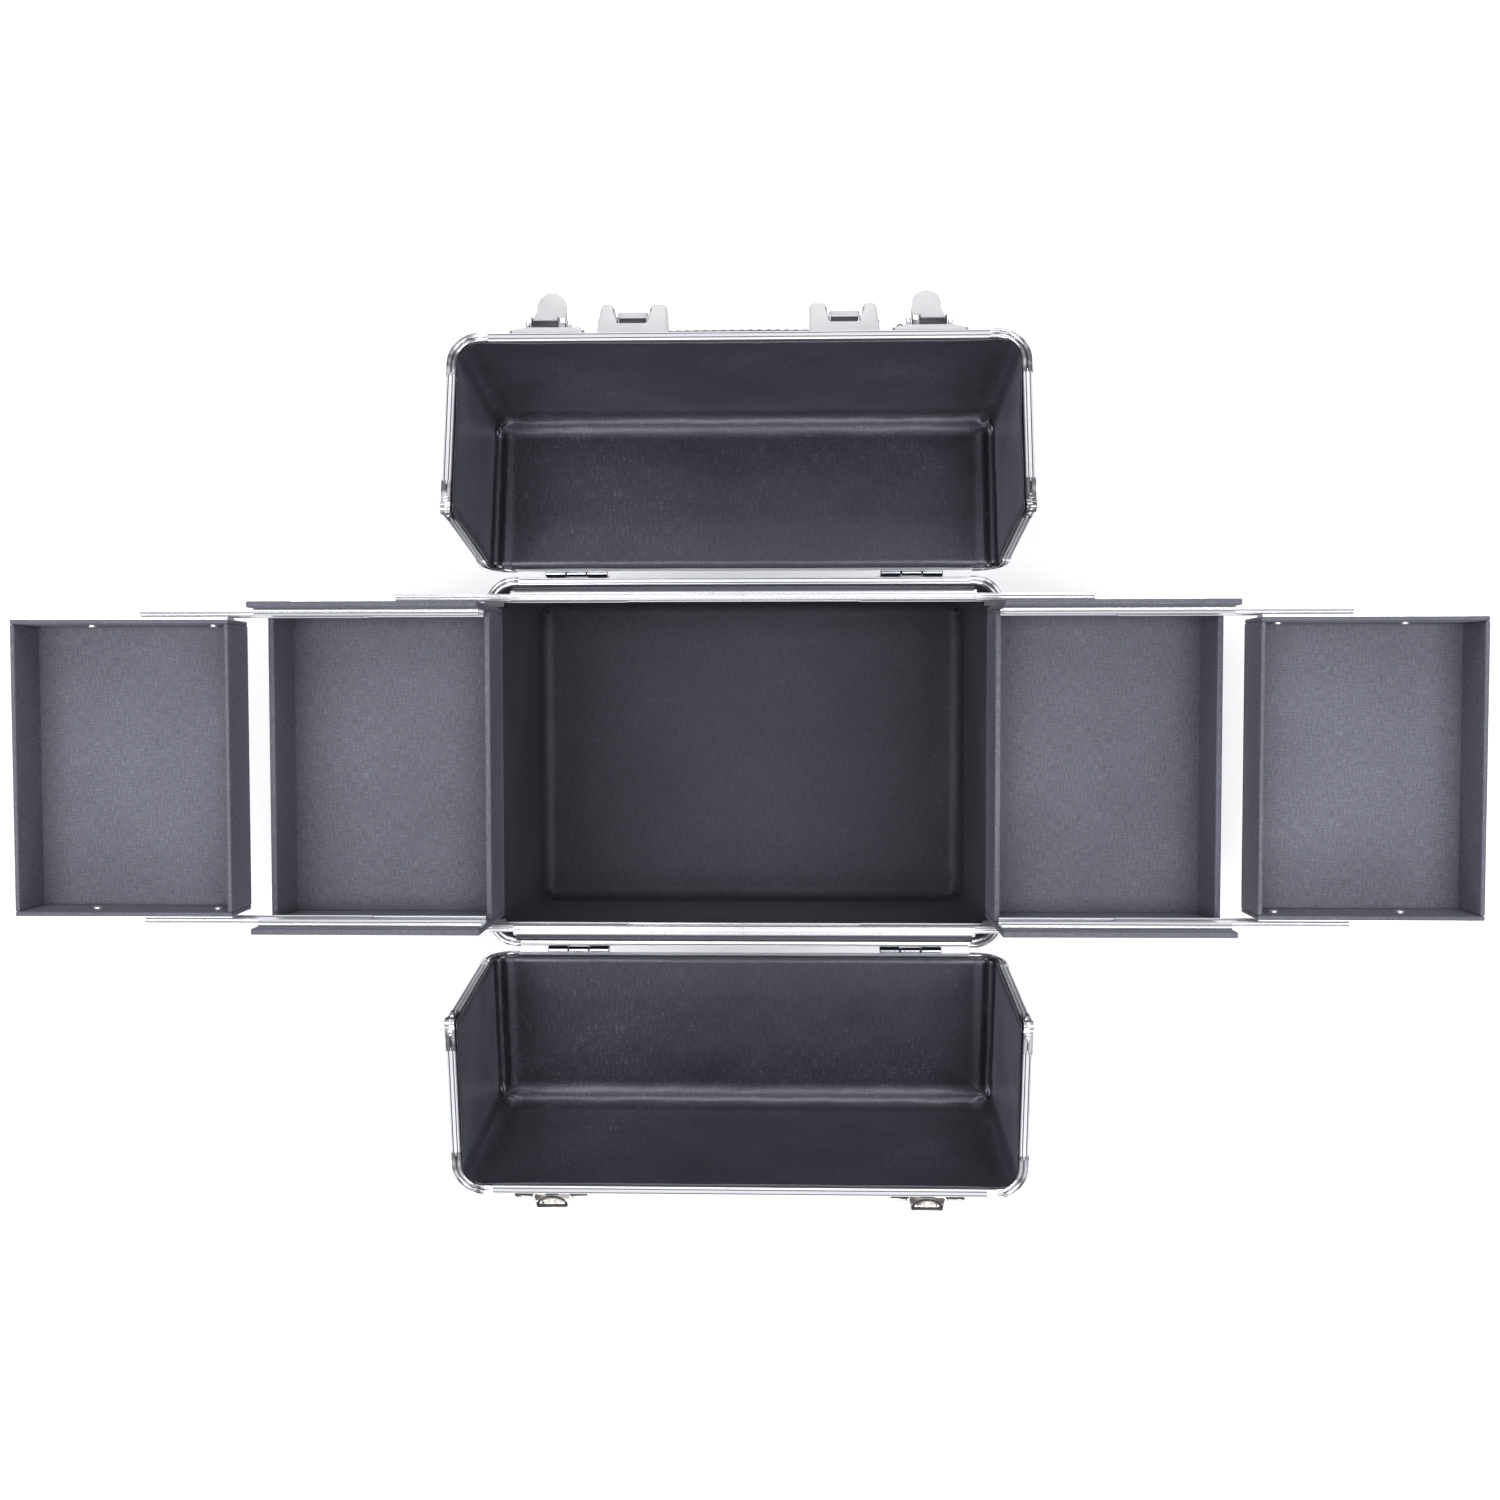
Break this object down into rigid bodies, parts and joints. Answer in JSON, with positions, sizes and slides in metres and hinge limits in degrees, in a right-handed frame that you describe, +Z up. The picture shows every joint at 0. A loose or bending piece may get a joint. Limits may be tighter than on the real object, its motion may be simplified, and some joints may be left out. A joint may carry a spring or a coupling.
{
  "type": "makeup train case",
  "caption": "Hard-sided beauty train case standing open, with split lids, cantilevered slide-out trays, latches and a folding handle.",
  "frame": {"origin": "on the floor under the middle of the case body, at the feet's undersides", "axes": "+X along the case's length, +Y towards the lid with the handle, +Z up"},
  "size_m": [0.943, 0.576, 0.3315],
  "materials": {
    "dark_lining": "satin weave, dark navy charcoal",
    "grey_lining": "plain weave, slate grey",
    "tray_cloth": "linen-like weave wrapped on board, slate grey",
    "case_panel": "embossed silver laminate on fibreboard",
    "rail": "satin anodised extrusion",
    "chrome": "polished",
    "steel": "bright zinc plate",
    "nickel": "nickel plate",
    "grey_cast": "light grey satin paint",
    "foot_rubber": "moulded",
    "grip": "grained soft grip"
  },
  "bodies": {
    "case": {"case_bottom_panel": "case_panel", "case_long_panels": "case_panel", "case_end_panels": "case_panel", "case_corner_posts": "rail", "case_corner_caps": "chrome", "case_rim_rails": "rail", "case_base_rails": "rail", "case_feet": "foot_rubber", "case_lining": "grey_lining", "slide_boards": "grey_lining", "lower_slide_rails": "steel", "case_hinge_leaves": "steel", "hinge_pins": "steel"},
    "back_lid": {"back_lid_top_panel": "case_panel", "back_lid_wall_panel": "case_panel", "back_lid_side_panels": "case_panel", "back_lid_edge_rails": "rail", "back_lid_rim_rails": "rail", "back_lid_corner_pieces": "chrome", "back_lid_lining": "dark_lining", "back_lid_hinge_leaves": "steel", "back_lid_handle_brackets": "grey_cast", "back_lid_latch_plates": "grey_cast"},
    "front_lid": {"front_lid_top_panel": "case_panel", "front_lid_wall_panel": "case_panel", "front_lid_side_panels": "case_panel", "front_lid_edge_rails": "rail", "front_lid_rim_rails": "rail", "front_lid_corner_pieces": "chrome", "front_lid_lining": "dark_lining", "front_lid_hinge_leaves": "steel", "front_lid_catches": "nickel"},
    "handle": {"handle_links": "steel", "handle_grip": "grip"},
    "left_latch": {"left_latch_lever": "grey_cast"},
    "right_latch": {"right_latch_lever": "grey_cast"},
    "left_lower_tray": {"left_lower_tray_floor": "tray_cloth", "left_lower_tray_end_walls": "tray_cloth", "left_lower_tray_side_walls": "tray_cloth", "left_lower_slide_strips": "steel", "left_upper_slide_rails": "steel"},
    "left_upper_tray": {"left_upper_tray_floor": "tray_cloth", "left_upper_tray_end_walls": "tray_cloth", "left_upper_tray_side_walls": "tray_cloth", "left_upper_tray_screws": "steel", "left_upper_slide_strips": "steel"},
    "left_lower_runner": {"left_lower_runners": "steel"},
    "left_upper_runner": {"left_upper_runners": "steel"},
    "right_lower_tray": {"right_lower_tray_floor": "tray_cloth", "right_lower_tray_end_walls": "tray_cloth", "right_lower_tray_side_walls": "tray_cloth", "right_lower_slide_strips": "steel", "right_upper_slide_rails": "steel"},
    "right_upper_tray": {"right_upper_tray_floor": "tray_cloth", "right_upper_tray_end_walls": "tray_cloth", "right_upper_tray_side_walls": "tray_cloth", "right_upper_tray_screws": "steel", "right_upper_slide_strips": "steel"},
    "right_lower_runner": {"right_lower_runners": "steel"},
    "right_upper_runner": {"right_upper_runners": "steel"}
  },
  "joints": [
    {"name": "back_lid_hinge", "type": "hinge", "parent": "case", "child": "back_lid", "pos_m": [0, 0.1315, 0.202], "axis": [1, 0, 0], "range_deg": [0, 24]},
    {"name": "front_lid_hinge", "type": "hinge", "parent": "case", "child": "front_lid", "pos_m": [0, -0.1315, 0.202], "axis": [-1, 0, 0], "range_deg": [0, 22]},
    {"name": "handle_swing", "type": "hinge", "parent": "back_lid", "child": "handle", "pos_m": [0, 0.28036, 0.29349], "axis": [1, 0, 0], "range_deg": [-14, 115]},
    {"name": "left_latch_pivot", "type": "hinge", "parent": "back_lid", "child": "left_latch", "pos_m": [0, 0.27725, 0.29721], "axis": [1, 0, 0], "range_deg": [0, 88]},
    {"name": "right_latch_pivot", "type": "hinge", "parent": "back_lid", "child": "right_latch", "pos_m": [0, 0.27725, 0.29721], "axis": [1, 0, 0], "range_deg": [0, 88]},
    {"name": "left_lower_tray_slide", "type": "slide", "parent": "case", "child": "left_lower_tray", "axis": [1, 0, 0], "range_m": [0, 0.16]},
    {"name": "left_lower_runner_slide", "type": "slide", "parent": "case", "child": "left_lower_runner", "axis": [1, 0, 0], "range_m": [0, 0.08]},
    {"name": "left_upper_tray_slide", "type": "slide", "parent": "left_lower_tray", "child": "left_upper_tray", "axis": [1, 0, 0], "range_m": [0, 0.15]},
    {"name": "left_upper_runner_slide", "type": "slide", "parent": "left_lower_tray", "child": "left_upper_runner", "axis": [1, 0, 0], "range_m": [0, 0.075]},
    {"name": "right_lower_tray_slide", "type": "slide", "parent": "case", "child": "right_lower_tray", "axis": [-1, 0, 0], "range_m": [0, 0.16]},
    {"name": "right_lower_runner_slide", "type": "slide", "parent": "case", "child": "right_lower_runner", "axis": [-1, 0, 0], "range_m": [0, 0.08]},
    {"name": "right_upper_tray_slide", "type": "slide", "parent": "right_lower_tray", "child": "right_upper_tray", "axis": [-1, 0, 0], "range_m": [0, 0.15]},
    {"name": "right_upper_runner_slide", "type": "slide", "parent": "right_lower_tray", "child": "right_upper_runner", "axis": [-1, 0, 0], "range_m": [0, 0.075]}
  ],
  "couplings": [
    {"joint": "left_lower_runner_slide", "follows": "left_lower_tray_slide", "ratio": 0.5},
    {"joint": "left_upper_runner_slide", "follows": "left_upper_tray_slide", "ratio": 0.5},
    {"joint": "right_lower_runner_slide", "follows": "right_lower_tray_slide", "ratio": 0.5},
    {"joint": "right_upper_runner_slide", "follows": "right_upper_tray_slide", "ratio": 0.5}
  ]
}
